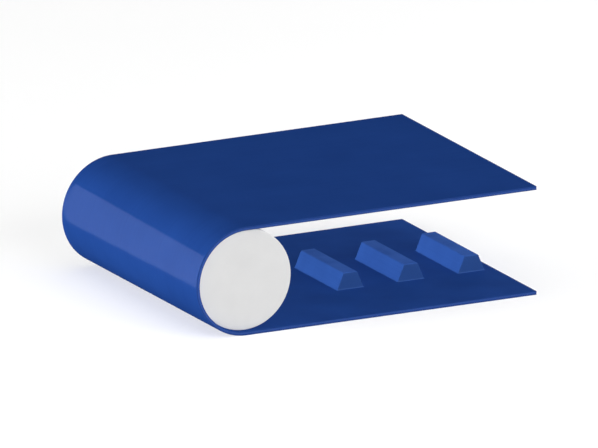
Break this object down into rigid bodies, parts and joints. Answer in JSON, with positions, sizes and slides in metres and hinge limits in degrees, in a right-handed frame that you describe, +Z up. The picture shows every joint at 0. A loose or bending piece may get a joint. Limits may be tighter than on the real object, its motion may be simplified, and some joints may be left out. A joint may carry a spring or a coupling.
{
  "type": "pvc conveyor belt",
  "caption": "Section of laminated blue PVC conveyor belt with guide lugs inside, wrapped round a grooved idler drum that turns on a flange-mounted axle.",
  "frame": {"origin": "middle of the axle flange's mounting face, on the drum's axis", "axes": "+X along the belt's runs from the drum to the cut ends, +Y along the drum's axis out of the mounting face, +Z up, from the lower run to the upper run"},
  "size_m": [0.2195, 0.187, 0.065],
  "materials": {
    "belt_top_pvc": "satin",
    "belt_running_pvc": "fine fabric impression",
    "belt_fabric": "woven polyester",
    "lug_pvc": "satin",
    "cap_plastic": "fine matt",
    "drum_aluminium": "turned",
    "bush_polymer": "matt",
    "axle_steel": "turned",
    "washer_steel": "ground",
    "spring_steel": "phosphated"
  },
  "bodies": {
    "belt_and_axle": {"belt_running_cover": "belt_running_pvc", "belt_inner_ply": "belt_fabric", "belt_interlayer": "belt_top_pvc", "belt_outer_ply": "belt_fabric", "belt_top_cover": "belt_top_pvc", "guide_lug_1": "lug_pvc", "guide_lug_2": "lug_pvc", "guide_lug_3": "lug_pvc", "axle": "axle_steel", "thrust_washer": "washer_steel", "retaining_ring": "spring_steel"},
    "drum": {"drum_core_tube": "drum_aluminium", "near_drum_shell": "drum_aluminium", "far_drum_shell": "drum_aluminium", "near_groove_disc": "drum_aluminium", "far_groove_disc": "drum_aluminium", "far_end_disc": "drum_aluminium", "near_end_cap": "cap_plastic", "near_bush": "bush_polymer", "far_bush": "bush_polymer"}
  },
  "joints": [
    {"name": "drum_spin", "type": "hinge", "parent": "belt_and_axle", "child": "drum", "pos_m": [0, -0.097, 0], "axis": [0, 1, 0], "continuous": true}
  ]
}
